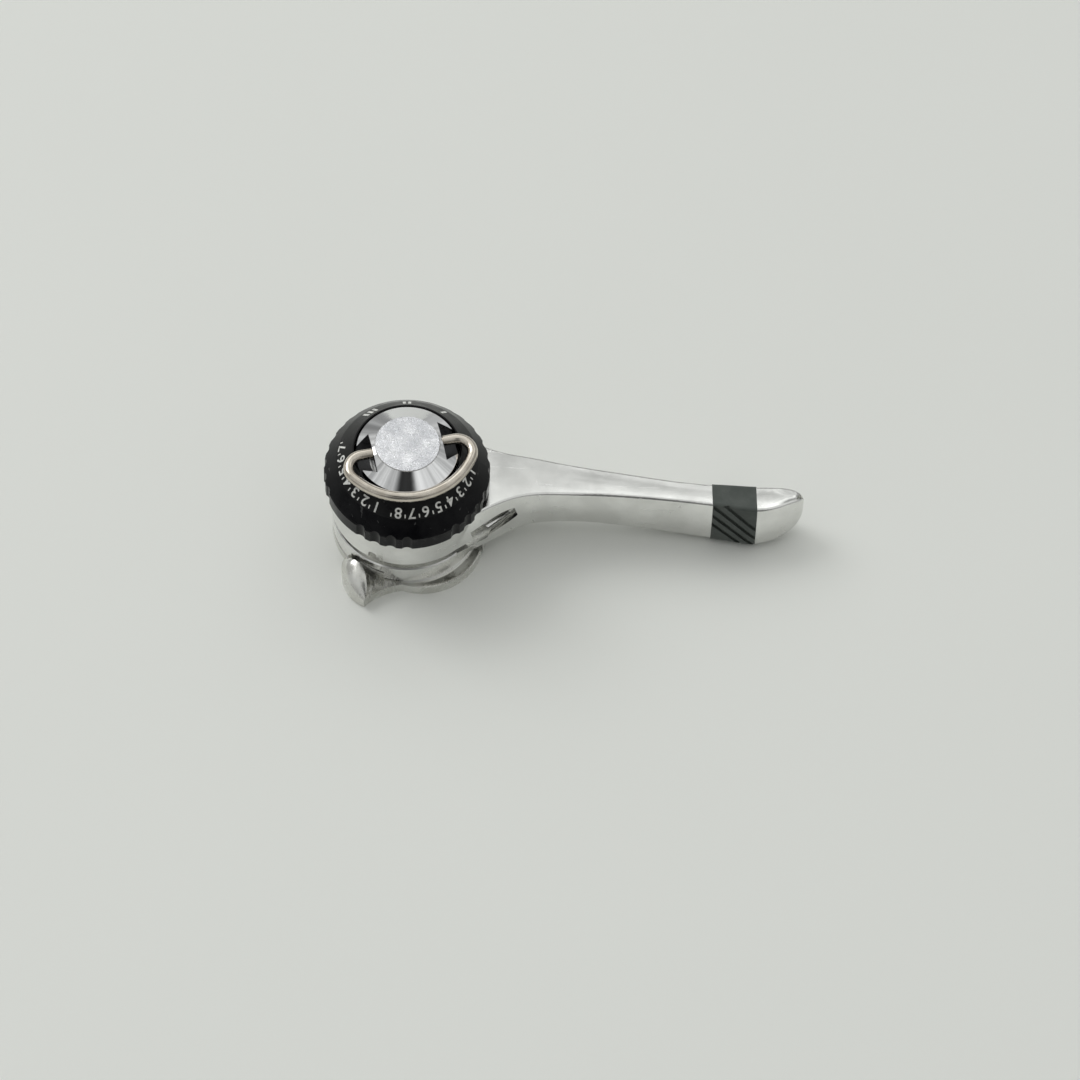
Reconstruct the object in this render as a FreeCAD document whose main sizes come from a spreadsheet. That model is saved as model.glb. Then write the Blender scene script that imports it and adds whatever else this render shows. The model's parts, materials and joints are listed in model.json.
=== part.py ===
import FreeCAD, Part

import math
import os
import re

import Sketcher

# Bicycle index gear lever for a frame boss, held by one screw with a folding D-shaped bail.
# Frame: origin where the pivot axis meets the mounting face, +Z out of the bicycle frame,
# +X along the lever at rest. Millimetres and degrees throughout.

Vector = FreeCAD.Vector
Z_AXIS = Vector(0, 0, 1)

doc = FreeCAD.newDocument("gear_lever")
sheet = doc.addObject("Spreadsheet::Sheet", "Sizes")

SIZES = {
    # clearances
    "running_gap": 0.05,
    "key_gap": 0.05,
    "face_gap": 0.05,
    "free_gap": 0.15,
    "clear_gap": 0.3,
    # base plate with its wing and ear
    "plate_radius": 12.0,
    "plate_height": 2.0,
    "plate_edge": 0.35,
    "wing_radius": 9.95,
    "wing_offset": 4.0,
    "wing_centre_angle": -51.0,
    "wing_end_angle": -26.5,
    "pinch_angle": 267.0,
    "pinch_radius": 12.5,
    "pinch_bow": 0.75,
    "web_root_angle": 225.0,
    "dish_radius": 3.0,
    "dish_depth": 0.6,
    "lip_width": 0.2,
    "ear_foot": 2.2,
    "ear_height": 4.4,
    "ear_tip_height": 2.25,
    "ear_start_angle": 216.0,
    "ear_tip_angle": 246.0,
    "ear_start_radius": 12.4,
    "ear_tip_radius": 17.0,
    "ear_crest_share": 0.35,
    "ear_crest_lag": 2.0,
    "ear_tip_width": 0.5,
    "ear_draft": 0.15,
    "ear_rim": 0.5,
    "ear_bulge": 0.2,
    "ear_sweep": 1.7,
    "ear_section_count": 8,
    # centre sleeve that sits on the frame boss
    "boss_radius": 5.0,
    "boss_depth": 5.0,
    "sleeve_radius": 6.0,
    "sleeve_bore": 4.3,
    "sleeve_foot_radius": 7.2,
    "sleeve_foot_height": 0.8,
    "sleeve_top": 19.6,
    "sleeve_web": 1.8,
    "flat_distance": 5.2,
    "flat_reach": 5.0,
    # washers and friction stack
    "lower_washer_radius": 10.4,
    "lower_washer_height": 0.7,
    "disc_radius": 8.7,
    "disc_height": 1.0,
    "spacer_height": 0.6,
    "selector_height": 0.8,
    "tab_width": 0.7,
    "tab_span": 24.0,
    "stack_radius": 7.6,
    "pressure_height": 1.0,
    "spring_height": 1.1,
    "spring_thickness": 0.7,
    "upper_washer_height": 0.6,
    "collar_radius": 7.3,
    "keyed_washer_radius": 8.0,
    "keyed_washer_base": 19.0,
    "keyed_washer_height": 1.5,
    # lever hub
    "flange_radius": 12.0,
    "hub_radius": 12.3,
    "hub_top": 14.1,
    "groove_base": 5.8,
    "groove_height": 1.8,
    "groove_radius": 10.6,
    "groove_centre": 190.0,
    "groove_span": 306.0,
    "hub_edge": 0.2,
    "cavity_radius": 9.0,
    "web_top": 8.4,
    "bush_wall": 0.45,
    "bush_flange": 0.3,
    "bush_flange_radius": 6.55,
    "spigot_radius": 10.5,
    "spigot_height": 2.4,
    "notch_height": 2.35,
    "notch_depth": 1.1,
    "notch_angle": 237.0,
    "notch_span": 30.0,
    "mark_angle": 243.0,
    "mark_radius": 0.7,
    "mark_height": 1.8,
    "mark_depth": 0.8,
    "lug_angle": -20.7,
    "lug_span": 8.6,
    "lug_width": 1.25,
    "lug_base": 1.0,
    "lug_gap": 0.05,
    # lever blade, at five places along it
    "root_place": 8.0,
    "root_back": 9.0,
    "root_front": -8.4,
    "root_top": 13.3,
    "root_base": 0.35,
    "root_lean": 0.4,
    "fork_place": 14.7,
    "fork_back": 6.05,
    "fork_front": -4.6,
    "fork_top": 13.2,
    "fork_base": 0.45,
    "fork_lean": 0.4,
    "neck_place": 19.5,
    "neck_back": 5.25,
    "neck_front": -2.75,
    "neck_top": 12.75,
    "neck_base": 3.6,
    "neck_lean": 0.4,
    "grip_neck_place": 27.0,
    "grip_neck_back": 4.2,
    "grip_neck_front": -2.0,
    "grip_neck_top": 11.75,
    "grip_neck_base": 3.35,
    "grip_neck_lean": 0.4,
    "waist_place": 35.0,
    "waist_back": 3.0,
    "waist_front": -2.1,
    "waist_top": 11.3,
    "waist_base": 2.25,
    "waist_lean": 0.4,
    "swell_place": 46.0,
    "swell_back": 1.6,
    "swell_front": -2.9,
    "swell_top": 10.6,
    "swell_base": 0.65,
    "swell_lean": 0.5,
    "toe_place": 56.0,
    "toe_back": 1.6,
    "toe_front": -4.4,
    "toe_top": 9.35,
    "toe_base": 0.3,
    "toe_lean": 1.3,
    "lever_reach": 64.2,
    "tip_rise": 6.0,
    "tip_drop": 2.2,
    "tip_squareness": 3.5,
    "tip_slant": 1.8,
    "tip_bias": 0.35,
    "tip_sweep": 2.3,
    "tip_crest": 4.0,
    "section_count": 16,
    "tip_section_count": 9,
    "blade_crest_round": 0.5,
    "blade_belly_round": 1.5,
    "blade_bulge": 0.06,
    "blade_dish": 0.12,
    # cable seat in the root of the blade
    "seat_angle": 38.0,
    "seat_mouth_x": 11.6,
    "seat_mouth_y": -5.6,
    "seat_radius": 2.3,
    "seat_depth": 6.2,
    "seat_height": 8.2,
    "seat_rise": 12.0,
    "cable_way": 0.9,
    # rubber band on the blade
    "band_start": 49.3,
    "band_width": 7.2,
    "band_proud": 0.12,
    "band_depth": 0.9,
    "rib_count": 4,
    "rib_width": 0.65,
    "rib_depth": 0.45,
    "rib_drop": 2.1,
    "rib_first_drop": 2.4,
    "rib_margin": 0.6,
    "rib_ridge_margin": 0.9,
    "rib_slant": 46.0,
    "rib_length": 12.0,
    # click balls and springs
    "ball_radius": 1.0,
    "ball_circle": 7.72,
    "ball_count": 3,
    "ball_play": 0.1,
    "spring_bite": 0.05,
    "pocket_floor": 4.4,
    "coil_radius": 0.75,
    "coil_wire": 0.15,
    "coil_turns": 4,
    "fine_clicks": 24,
    "wide_clicks": 18,
    "dimple_radius": 0.7,
    "mode_ball_radius": 0.6,
    "mode_ball_circle": 11.4,
    "mode_ball_angle": 100.0,
    "mode_pocket_depth": 3.2,
    "mode_step": 36.0,
    # selector ring
    "ring_radius": 13.3,
    "ring_side_height": 2.9,
    "ring_shoulder_radius": 11.3,
    "ring_shoulder_height": 19.6,
    "ring_lip_radius": 8.75,
    "ring_lip_height": 22.4,
    "ring_lip_width": 0.2,
    "ring_shell": 0.3,
    "ring_wall": 1.4,
    "ring_roof": 1.5,
    "ring_edge": 0.25,
    "ring_edge_width": 0.2,
    "ring_web_base": 17.3,
    "ring_web_height": 1.0,
    "scallop_radius": 1.3,
    "scallop_depth": 0.32,
    "scallop_pitch": 11.25,
    "clip_height": 0.4,
    "clip_base": 15.55,
    "clip_bite": 0.35,
    "clip_opening": 30.0,
    "clip_gap": 0.03,
    # clamp screw
    "head_base": 20.6,
    "head_radius": 8.1,
    "head_rim": 22.7,
    "head_top": 24.5,
    "head_face_radius": 5.1,
    "head_edge": 0.12,
    "screw_radius": 2.5,
    "screw_tip": 5.4,
    "screw_chamfer": 0.5,
    "bail_turn": 11.8,
    "window_distance": 5.6,
    "window_inner_half": 3.65,
    "window_outer_half": 1.85,
    "window_reach": 8.6,
    "retainer_radius": 3.8,
    "retainer_height": 0.6,
    "retainer_top": 17.2,
    "retainer_groove": 2.1,
    # bail
    "bail_height": 23.5,
    "wire_radius": 0.85,
    "stub_radius": 0.6,
    "stub_depth": 1.2,
    "stub_overlap": 0.2,
    "leg_length": 7.5,
    "corner_radius": 2.5,
    "bail_reach": 9.3,
    "bail_droop": 0.5,
}

for row, (alias, value) in enumerate(SIZES.items(), start=1):
    sheet.set(f"A{row}", alias.replace("_", " "))
    sheet.set(f"B{row}", str(value))
    sheet.setAlias(f"B{row}", alias)
doc.recompute()


def size(alias):
    """One driving size, read from the sheet."""
    return float(sheet.get(alias))


def bound(text):
    """An expression in the sheet's aliases, with each alias named in full."""
    return re.sub(r"[a-z_]{3,}", lambda word: f"Sizes.{word.group(0)}", text)


# ---------------------------------------------------------------- general helpers

SUB_PARTS = []


def origin_plane(body, role):
    """The origin plane of a body that has the given role."""
    return next(item for item in body.Origin.OriginFeatures if item.Role == role)


def new_body(label):
    """A PartDesign body that becomes one sub-part."""
    body = doc.addObject("PartDesign::Body", label)
    body.Label = label
    SUB_PARTS.append(body)
    return body


def new_sketch(body, name, role):
    """A sketch on one of the body's own origin planes."""
    sketch = body.newObject("Sketcher::SketchObject", f"{body.Label}_{name}")
    sketch.AttachmentSupport = [(origin_plane(body, role), "")]
    sketch.MapMode = "FlatFace"
    return sketch


def pin_point(sketch, edge, across, up):
    """Tie the start of an edge to two expressions measured from the sketch's origin."""
    for kind, text in (("DistanceX", across), ("DistanceY", up)):
        number = sketch.addConstraint(Sketcher.Constraint(kind, -1, 1, edge, 1, edge + 1.0))
        sketch.setExpression(f"Constraints[{number}]", bound(text))


def draw_outline(sketch, points):
    """A closed outline of straight lines through points given as pairs of expressions."""
    count = len(points)
    first = sketch.GeometryCount
    turn = 2 * math.pi / count
    rough = [Vector(9 + math.cos(turn * n), 9 + math.sin(turn * n), 0) for n in range(count)]
    for n in range(count):
        sketch.addGeometry(Part.LineSegment(rough[n], rough[(n + 1) % count]))
    for n in range(count):
        following = first + (n + 1) % count
        sketch.addConstraint(Sketcher.Constraint("Coincident", first + n, 2, following, 1))
    for n, (across, up) in enumerate(points):
        pin_point(sketch, first + n, across, up)


def turn_profile(body, name, points, kind="PartDesign::Revolution"):
    """Turn a profile of (radius, height) expressions about the pivot axis."""
    sketch = new_sketch(body, f"{name}_profile", "XZ_Plane")
    draw_outline(sketch, points)
    feature = body.newObject(kind, f"{body.Label}_{name}")
    feature.Profile = sketch
    feature.ReferenceAxis = (sketch, ["V_Axis"])
    feature.Angle = 360
    sketch.Visibility = False
    doc.recompute()
    return feature


def turned_part(label, points):
    """A sub-part that is one turned profile."""
    body = new_body(label)
    turn_profile(body, "turning", points)
    return body


def turned_ring(label, inner, outer, base, top):
    """A plain washer or tube."""
    return turned_part(label, [(inner, base), (outer, base), (outer, top), (inner, top)])


def cut_flats(body, base, top):
    """Mill the two flats of the sleeve that the keyed pieces slide over."""
    for side, sign in (("near", "-"), ("far", "")):
        sketch = new_sketch(body, f"flat_{side}", "XZ_Plane")
        corners = [("-sleeve_radius - 1", base), ("sleeve_radius + 1", base),
                   ("sleeve_radius + 1", top), ("-sleeve_radius - 1", top)]
        draw_outline(sketch, corners)
        sketch.setExpression("AttachmentOffset.Base.z", bound(f"{sign}1 * flat_distance"))
        pocket = body.newObject("PartDesign::Pocket", f"{body.Label}_flat_{side}")
        pocket.Profile = sketch
        pocket.Length = size("flat_reach")
        pocket.Reversed = side == "far"
        sketch.Visibility = False
        before = body.Shape.Volume
        doc.recompute()
        if body.Shape.Volume > before - 0.1:
            raise RuntimeError(f"{body.Label}: the {side} flat cuts nothing")


def keyed_plate(label, outer, base, height):
    """A round plate with a double-D hole that slides over the sleeve's flats."""
    blank = doc.addObject("Part::Cylinder", f"{label}_blank")
    blank.setExpression("Radius", bound(outer))
    hole = doc.addObject("Part::Cylinder", f"{label}_hole")
    hole.setExpression("Radius", bound("sleeve_radius + key_gap"))
    slab = doc.addObject("Part::Box", f"{label}_slab")
    slab.setExpression("Length", bound("2 * sleeve_radius + 2"))
    slab.setExpression("Width", bound("2 * (flat_distance + key_gap)"))
    slab.setExpression("Placement.Base.x", bound("-sleeve_radius - 1"))
    slab.setExpression("Placement.Base.y", bound("-flat_distance - key_gap"))
    for item in (blank, hole):
        item.setExpression("Height", bound(height))
        item.setExpression("Placement.Base.z", bound(base))
    slab.setExpression("Height", bound(height))
    slab.setExpression("Placement.Base.z", bound(base))
    key = doc.addObject("Part::Common", f"{label}_key")
    key.Base = hole
    key.Tool = slab
    plate = doc.addObject("Part::Cut", label)
    plate.Base = blank
    plate.Tool = key
    plate.Label = label
    return plate


def keep(item):
    """Note a finished document object as a sub-part."""
    SUB_PARTS.append(item)
    return item


def shape_part(label, shape):
    """A sub-part whose free-form shape is set directly."""
    item = doc.addObject("Part::Feature", label)
    item.Label = label
    item.Shape = shape
    item.Placement = shape.Placement
    return keep(item)


def polar(radius, angle, height=0.0):
    """A point given by its radius, its angle in degrees about the pivot axis and its height."""
    turn = math.radians(angle)
    return Vector(radius * math.cos(turn), radius * math.sin(turn), height)


def ring_sector(inner, outer, base, top, centre, span):
    """Part of a plain ring, centred on one angle."""
    corners = [Vector(inner, 0, base), Vector(outer, 0, base),
               Vector(outer, 0, top), Vector(inner, 0, top)]
    face = Part.Face(Part.makePolygon(corners + corners[:1]))
    face.rotate(Vector(), Z_AXIS, centre - span / 2)
    return face.revolve(Vector(), Z_AXIS, span)


def cylinder(radius, base, top, centre=Vector()):
    """An upright cylinder between two heights."""
    return Part.makeCylinder(radius, top - base, Vector(centre.x, centre.y, base), Z_AXIS)


# ---------------------------------------------------------------- stacked heights

LOWER_WASHER_BASE = "plate_height + face_gap - lower_washer_height + face_gap"
LEVER_BASE = "(plate_height + free_gap)"
LOWER_WASHER_TOP = f"{LEVER_BASE} - face_gap"
DISC_BASE = "(web_top + bush_flange + face_gap)"
SPACER_BASE = f"({DISC_BASE} + disc_height)"
WIDE_BASE = f"({SPACER_BASE} + spacer_height)"
SELECTOR_BASE = f"({WIDE_BASE} + disc_height + free_gap)"
PRESSURE_BASE = f"({SELECTOR_BASE} + selector_height + free_gap)"
SPRING_BASE = f"({PRESSURE_BASE} + pressure_height)"
UPPER_WASHER_BASE = f"({SPRING_BASE} + spring_height)"
COLLAR_BASE = f"({UPPER_WASHER_BASE} + upper_washer_height)"
BUSH_RADIUS = "(sleeve_radius + running_gap)"

# How far a cutting shape stands beyond what it cuts.
MARGIN = 1.0


def level(text):
    """The height of a named level, worked out by the sheet's own arithmetic."""
    cell = f"D{len(LEVELS) + 1}"
    sheet.set(cell, f"={text}")
    LEVELS.append(cell)
    doc.recompute()
    return float(sheet.get(cell))


LEVELS = []
lever_base = level(LEVER_BASE)
disc_base = level(DISC_BASE)
selector_base = level(SELECTOR_BASE)

# ---------------------------------------------------------------- base plate


# How sharply the ear's crest swings out to its tip, rises from its foot and hollows on its inner side.
CREST_SWING = 1.6
CREST_CLIMB = 2.5
HOLLOW_REACH = 0.3
HOLLOW_HEIGHT = 0.35


def ear_crest(share):
    """Where the ear's crest stands at a share of its length, and how far it has swung out there."""
    begin = size("ear_crest_share")
    start, tip = size("ear_start_angle"), size("ear_tip_angle")
    top = size("ear_height")
    turned_out = max(0, (share - begin) / (1 - begin))
    inner = size("hub_radius") + size("free_gap")
    reach = (size("ear_tip_radius") - size("ear_tip_width") - inner) * turned_out ** CREST_SWING
    swung = (tip - start - size("ear_crest_lag")) * (1 - share) ** CREST_SWING
    if share < begin:
        height = top - (top - size("ear_foot")) * (1 - share / begin) ** CREST_CLIMB
    else:
        height = top - (top - size("ear_tip_height")) * turned_out ** 2
    return polar(inner + reach, tip - swung, height), turned_out


def ear_section(share):
    """An upright section of the ear, from its outer rim over its rounded back to its crest."""
    start, tip = size("ear_start_angle"), size("ear_tip_angle")
    outward = (size("ear_tip_radius") - size("ear_start_radius")) * (1 - (1 - share) ** 2)
    foot = polar(size("ear_start_radius") + outward, start + (tip - start) * share)
    crest, turned_out = ear_crest(share)
    rim = foot + Z_AXIS * size("ear_rim")
    slope = crest - rim
    outside = Vector(foot.x - crest.x, foot.y - crest.y, 0).normalize()
    normal = (outside * slope.z + Z_AXIS * math.hypot(slope.x, slope.y)).normalize()
    middle = (rim + crest) / 2 + normal * slope.Length * size("ear_bulge")
    sweep = size("ear_sweep") * math.sqrt(turned_out) + size("ear_draft")
    shelf_foot = Vector(crest.x, crest.y, 0) - outside * sweep
    shelf = shelf_foot + Z_AXIS * size("plate_height")
    hollow_height = shelf.z + (crest.z - shelf.z) * HOLLOW_HEIGHT
    hollow = Vector(crest.x, crest.y, hollow_height) - outside * sweep * HOLLOW_REACH
    return Part.Wire([Part.LineSegment(foot, rim).toShape(),
                      Part.Arc(rim, middle, crest).toShape(),
                      Part.Arc(crest, hollow, shelf).toShape(),
                      Part.LineSegment(shelf, shelf_foot).toShape(),
                      Part.LineSegment(shelf_foot, foot).toShape()])


def make_ear():
    """The ear: a smooth leaf turned up beside the drum, with a crisp crest and corner."""
    count = int(size("ear_section_count"))
    ear = Part.makeLoft([ear_section(number / count) for number in range(count + 1)], True)
    return ear.cut(cylinder(size("hub_radius") + size("free_gap"), size("plate_height"),
                            size("ear_height") + MARGIN))


def edged_disc(radius, height, edge, centre=Vector()):
    """A disc standing on the mounting face with its top edge bevelled."""
    disc = cylinder(radius, 0, height - edge, centre)
    place = Vector(centre.x, centre.y, height - edge)
    return disc.fuse(Part.makeCone(radius, radius - edge, edge, place, Z_AXIS))


def wing_dish(centre):
    """The shallow hollow in the wing, a torus about the wing's own axis."""
    middle = size("wing_radius") - size("lip_width")
    across = math.sqrt(size("dish_radius") ** 2 - (size("dish_radius") - size("dish_depth")) ** 2)
    height = size("plate_height") + size("dish_radius") - size("dish_depth")
    return Part.makeTorus(middle - across, size("dish_radius"), centre + Vector(0, 0, height), Z_AXIS)


def make_web():
    """The neck of the plate between the ear's corner and the wing, hollowed along its edge."""
    corner = polar(size("ear_tip_radius"), size("ear_tip_angle"))
    pinch = polar(size("pinch_radius"), size("pinch_angle"))
    middle = (corner + pinch) / 2
    bow = middle - Vector(middle).normalize() * size("pinch_bow")
    edge = Part.Arc(corner, bow, pinch).toShape()
    inner = polar(size("plate_radius") - MARGIN, size("pinch_angle"))
    inner_corner = polar(size("plate_radius") - MARGIN, size("web_root_angle"))
    outline = Part.Wire([edge, Part.LineSegment(pinch, inner).toShape(),
                         Part.LineSegment(inner, inner_corner).toShape(),
                         Part.LineSegment(inner_corner, corner).toShape()])
    return Part.Face(outline).extrude(Vector(0, 0, size("plate_height")))


def make_base_plate():
    """Plate, wing and ear in one piece, bored for the sleeve and recessed for the washer."""
    plate = edged_disc(size("plate_radius"), size("plate_height"), size("plate_edge"))
    centre = polar(size("wing_offset"), size("wing_centre_angle"))
    wing = cylinder(size("wing_radius"), 0, size("plate_height"), centre)
    start = size("pinch_angle") - 360
    span = size("wing_end_angle") - start
    above = size("plate_height") + MARGIN
    keep_side = ring_sector(size("plate_radius") - 3 * MARGIN, size("ear_tip_radius") + MARGIN,
                            -MARGIN, above, start + span / 2, span)
    dish = wing_dish(centre).cut(cylinder(size("flange_radius") - size("notch_depth"), -MARGIN, above))
    wing = wing.common(keep_side).cut(dish)
    body = plate.fuse(wing).fuse(make_web()).fuse(make_ear())
    bore = cylinder(size("sleeve_radius"), -MARGIN, above)
    foot = cylinder(size("sleeve_foot_radius"), -MARGIN, size("sleeve_foot_height"))
    recess = cylinder(size("lower_washer_radius") + size("face_gap"), washer_base,
                      size("ear_height") + MARGIN)
    return body.cut(bore).cut(foot).cut(recess)


washer_base = level(LOWER_WASHER_BASE)
shape_part("base_plate", make_base_plate())

# ---------------------------------------------------------------- centre sleeve

centre_sleeve = turned_part("centre_sleeve", [
    ("boss_radius", "0"),
    ("sleeve_foot_radius", "0"),
    ("sleeve_foot_radius", "sleeve_foot_height"),
    ("sleeve_radius", "sleeve_foot_height"),
    ("sleeve_radius", "sleeve_top"),
    ("screw_radius + clear_gap", "sleeve_top"),
    ("screw_radius + clear_gap", "sleeve_top - sleeve_web"),
    ("sleeve_bore", "sleeve_top - sleeve_web"),
    ("sleeve_bore", "boss_depth"),
    ("boss_radius", "boss_depth"),
])
cut_flats(centre_sleeve, "web_top + bush_flange", "sleeve_top + 1")

# ---------------------------------------------------------------- washers and stack

turned_ring("lower_friction_washer", "sleeve_radius + free_gap", "lower_washer_radius",
            LOWER_WASHER_BASE, LOWER_WASHER_TOP)
keep(keyed_plate("disc_spacer", "stack_radius", SPACER_BASE, "spacer_height"))
keep(keyed_plate("pressure_plate", "stack_radius", PRESSURE_BASE, "pressure_height"))
turned_part("disc_spring", [
    ("sleeve_radius + free_gap", SPRING_BASE + " + spring_height - spring_thickness"),
    ("stack_radius", SPRING_BASE),
    ("stack_radius", SPRING_BASE + " + spring_thickness"),
    ("sleeve_radius + free_gap", SPRING_BASE + " + spring_height"),
])
turned_ring("upper_friction_washer", "sleeve_radius + free_gap", "stack_radius",
            UPPER_WASHER_BASE, COLLAR_BASE)
turned_ring("tension_collar", "sleeve_radius + free_gap", "collar_radius", COLLAR_BASE,
            "keyed_washer_base")
keep(keyed_plate("keyed_washer", "keyed_washer_radius", "keyed_washer_base + face_gap",
                 "keyed_washer_height"))


def index_disc(label, base, clicks):
    """A keyed disc with a circle of click dimples in its underside."""
    plate = keyed_plate(f"{label}_plate", "disc_radius", base, "disc_height")
    doc.recompute()
    floor = plate.Shape.BoundBox.ZMin
    shape = plate.Shape
    for number in range(clicks):
        place = polar(size("ball_circle"), number * 360 / clicks, floor)
        shape = shape.cut(Part.makeSphere(size("dimple_radius"), place))
    return shape_part(label, shape)


index_disc("index_disc_fine", DISC_BASE, int(size("fine_clicks")))
index_disc("index_disc_wide", WIDE_BASE, int(size("wide_clicks")))


def make_selector_plate():
    """The plate that turns with the ring, with three tabs that rise into the ring's web."""
    outer = size("disc_radius")
    top = selector_base + size("selector_height")
    shape = cylinder(outer, selector_base, top)
    hole = cylinder(size("sleeve_radius") + size("clear_gap"), selector_base - MARGIN, top + MARGIN)
    shape = shape.cut(hole)
    tab_top = size("ring_web_base") + size("ring_web_height")
    for number in range(3):
        tab = ring_sector(outer - size("tab_width"), outer, selector_base, tab_top,
                          90 + number * 120, size("tab_span"))
        shape = shape.fuse(tab)
    return shape.removeSplitter()


shape_part("selector_plate", make_selector_plate())

# ---------------------------------------------------------------- lever blade

STATIONS = ("root", "fork", "neck", "grip_neck", "waist", "swell", "toe")
SECTION_PARTS = ("place", "back", "front", "top", "base", "lean")

# How close the last section comes to the tip, as a share of the rounded end's length.
TIP_NEARNESS = 0.9985


def station(name, part):
    """One size at one place of the blade; near the drum its underside is measured from the drum's."""
    beside_drum = part == "base" and name in ("root", "fork")
    return size(f"{name}_{part}") + (lever_base if beside_drum else 0)


def blend(places, values, at):
    """A smooth curve through values at given places, read at one place between them."""
    last = len(places) - 1
    slopes = []
    for n in range(last + 1):
        low, high = max(n - 1, 0), min(n + 1, last)
        slopes.append((values[high] - values[low]) / (places[high] - places[low]))
    span = max(n for n in range(last) if places[n] <= at)
    width = places[span + 1] - places[span]
    share = (at - places[span]) / width
    rise = share * share * (3 - 2 * share)
    start_swing = share * (1 - share) ** 2 * width * slopes[span]
    end_swing = share ** 2 * (share - 1) * width * slopes[span + 1]
    return values[span] * (1 - rise) + values[span + 1] * rise + start_swing + end_swing


def rounding(share, power):
    """How much of its full size a rounded end keeps, part of the way to its tip."""
    return (1 - share ** power) ** (1 / power)


def blade_sections():
    """Place, back, front, top, base and front lean of each section, along the blade to its tip."""
    columns = {part: [station(name, part) for name in STATIONS] for part in SECTION_PARTS}
    places = columns["place"]
    count = int(size("section_count"))
    sections = []
    for number in range(count):
        at = places[0] + (places[-1] - places[0]) * number / count
        sections.append([at] + [blend(places, columns[part], at) for part in SECTION_PARTS[1:]])
    place, back, front, top, base, lean = (columns[part][-1] for part in SECTION_PARTS)
    middle = back - size("tip_bias") * (back - front)
    tip_count = int(size("tip_section_count"))
    for number in range(tip_count + 1):
        share = 1 - (1 - TIP_NEARNESS) ** (number / tip_count)
        rear = middle + (back - middle) * rounding(share, size("tip_squareness"))
        fore = middle + (front - middle) * rounding(share, size("tip_slant"))
        rise = size("tip_rise") * (1 - rounding(share, size("tip_sweep")))
        drop = size("tip_drop") * (1 - rounding(share, size("tip_crest")))
        sections.append([place + (size("lever_reach") - place) * share,
                         rear, fore, top - drop, base + rise, lean])
    return sections


# The width below which the blade's details thin out, and the most its rounds may shrink.
FULL_WIDTH = 4.0
CREST_SHRINK = -0.3
BELLY_SHRINK = -0.6


def blade_wire(section, grow=0.0):
    """One rounded four-sided section of the blade, square to its length."""
    place, back, front, top, base, lean = section
    back, front, top, base = back + grow, front - grow, top + grow, base - grow
    width = back - front
    thinning = min(1, width / FULL_WIDTH)
    lean = lean * thinning
    crest = min(size("blade_crest_round") + max(grow, CREST_SHRINK), width / 4, (top - base) / 3)
    belly = min(size("blade_belly_round") + max(grow, BELLY_SHRINK), width / 3, (top - base) / 3)
    bulge = size("blade_bulge") * width
    dish = size("blade_dish") * thinning
    middle = (back + front) / 2
    waist = (top + base) / 2
    slant = math.sqrt(0.5)

    def corner(y_side, z_side, radius, y_sign, z_sign):
        """The start, middle and end of one corner arc, in that order round the section."""
        centre = Vector(place, y_side - y_sign * radius, z_side - z_sign * radius)
        across = centre + Vector(0, y_sign * radius, 0)
        along = centre + Vector(0, 0, z_sign * radius)
        between = centre + Vector(0, y_sign * radius * slant, z_sign * radius * slant)
        return across, between, along

    top_back = corner(back, top, crest, 1, 1)
    top_front = corner(front + lean, top, crest, -1, 1)
    low_front = corner(front, base, belly, -1, -1)
    low_back = corner(back, base, belly, 1, -1)
    edges = [
        Part.Arc(*top_back),
        Part.Arc(top_back[2], Vector(place, middle, top - dish), top_front[2]),
        Part.Arc(top_front[2], top_front[1], top_front[0]),
        Part.Arc(top_front[0], Vector(place, front + lean / 2 - bulge, waist), low_front[0]),
        Part.Arc(*low_front),
        Part.Arc(low_front[2], Vector(place, middle, base - bulge / 3), low_back[2]),
        Part.Arc(low_back[2], low_back[1], low_back[0]),
        Part.Arc(low_back[0], Vector(place, back + bulge, waist), top_back[0]),
    ]
    return Part.Wire([edge.toShape() for edge in edges])


def make_blade(grow=0.0):
    """The whole blade as one smooth loft."""
    return Part.makeLoft([blade_wire(section, grow) for section in blade_sections()], True, False)


def band_slab():
    """The length of blade that the rubber band covers."""
    across = 2 * size("ring_radius")
    corner = Vector(size("band_start"), -across / 2, -MARGIN)
    return Part.makeBox(size("band_width"), across, size("head_top"), corner)


def cable_seat():
    """The seat of the cable's end: a slanting round pocket in the blade's front, over a cable way."""
    turn, lift = math.radians(size("seat_angle")), math.radians(size("seat_rise"))
    run = Vector(math.cos(turn), math.sin(turn), 0)
    climb = run * math.cos(lift) + Z_AXIS * math.sin(lift)
    mouth = Vector(size("seat_mouth_x"), size("seat_mouth_y"), 0)
    groove_middle = Z_AXIS * (size("groove_base") + size("groove_height") / 2)
    length = size("seat_depth") + 2 * MARGIN
    pocket = Part.makeCylinder(size("seat_radius"), length,
                               mouth + Z_AXIS * size("seat_height") - climb * 2 * MARGIN, climb)
    way = Part.makeCylinder(size("cable_way"), length, mouth + groove_middle - run * 2 * MARGIN, run)
    return pocket.fuse(way)


def make_hub():
    """The drum: lower flange, cable groove and upper flange, with the ring's spigot."""
    edge = size("hub_edge")
    flange, hub, floor = size("flange_radius"), size("hub_radius"), size("groove_radius")
    groove_base, top = size("groove_base"), size("hub_top")
    groove_top = groove_base + size("groove_height")
    spigot = size("spigot_radius")
    spigot_top = top + size("spigot_height")
    outline = [(0, lever_base), (flange - edge, lever_base), (flange, lever_base + edge),
               (flange, groove_base - edge), (flange - edge, groove_base), (floor, groove_base),
               (floor, groove_top), (hub - edge, groove_top), (hub, groove_top + edge),
               (hub, top - edge), (hub - edge, top), (spigot, top),
               (spigot, spigot_top), (0, spigot_top)]
    corners = [Vector(across, 0, up) for across, up in outline]
    return Part.Face(Part.makePolygon(corners + corners[:1])).revolve(Vector(), Z_AXIS, 360)


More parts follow.
